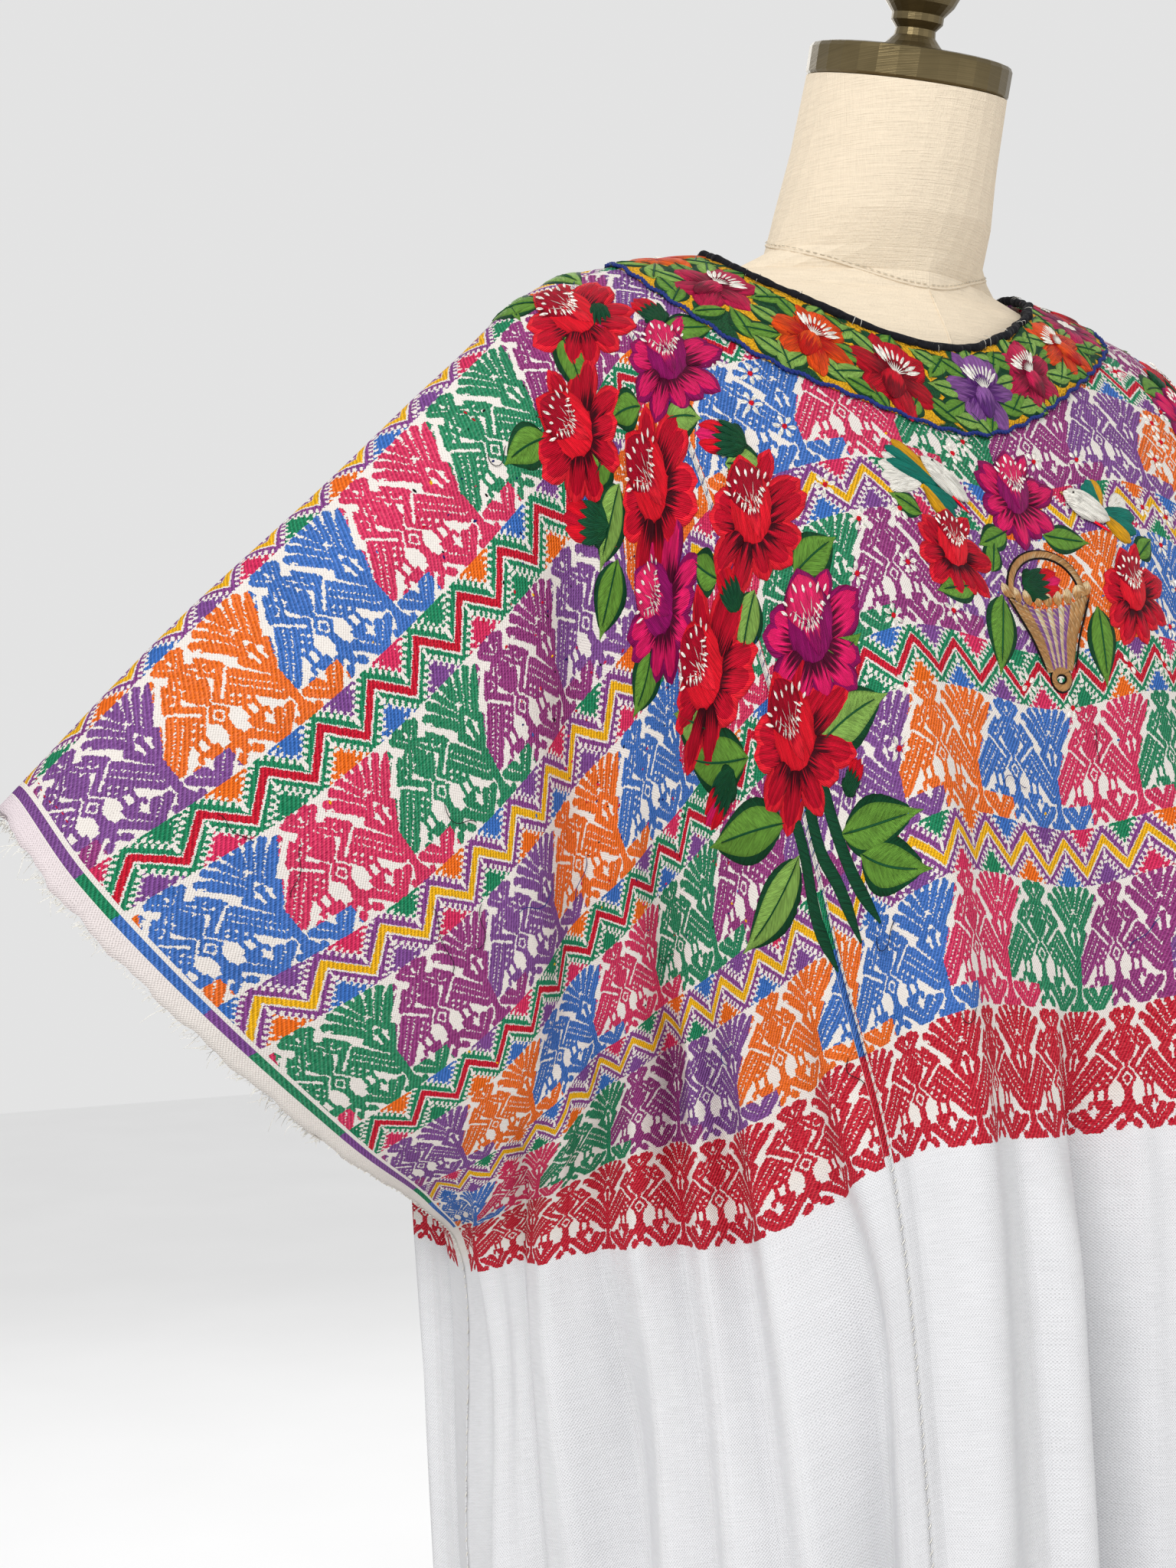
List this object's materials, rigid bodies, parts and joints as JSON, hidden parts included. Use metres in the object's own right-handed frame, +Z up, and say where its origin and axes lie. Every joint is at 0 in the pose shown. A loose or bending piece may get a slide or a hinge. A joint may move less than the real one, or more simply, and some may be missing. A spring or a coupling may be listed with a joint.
{
  "type": "huipil poncho on a limbless dress form with a pole stand",
  "caption": "Brocaded and embroidered huipil of joined loom widths, with a bound round neck and open wing sleeves, hanging on a linen dress form with a cap, pole and round base.",
  "frame": {"origin": "on the floor, at the middle of the stand's round base, under the pole", "axes": "+Z up, -Y the way the dress form faces, -X the wearer's right sleeve"},
  "size_m": [1.0434, 0.4528, 1.5089],
  "materials": {
    "canvas": "plain woven linen, matt",
    "aged_bronze": "aged bronze, brushed and lacquered",
    "brocaded_cotton": "white cotton with brocaded bands in many colours",
    "embroidered_collar": "yellow cotton covered with embroidered flowers",
    "black_velvet": "black velvet ribbon",
    "navy_braid": "navy cotton braid and thread"
  },
  "bodies": {
    "root": {"centre_panel": "brocaded_cotton", "side_panel_right": "brocaded_cotton", "side_panel_left": "brocaded_cotton", "collar": "embroidered_collar", "collar_braid": "navy_braid", "neck_binding": "black_velvet", "binding_knot": "navy_braid", "form_torso": "canvas", "neck_cap": "aged_bronze", "cap_finial": "aged_bronze", "form_bottom_plate": "aged_bronze", "form_pole": "aged_bronze", "form_base": "aged_bronze"}
  },
  "joints": []
}
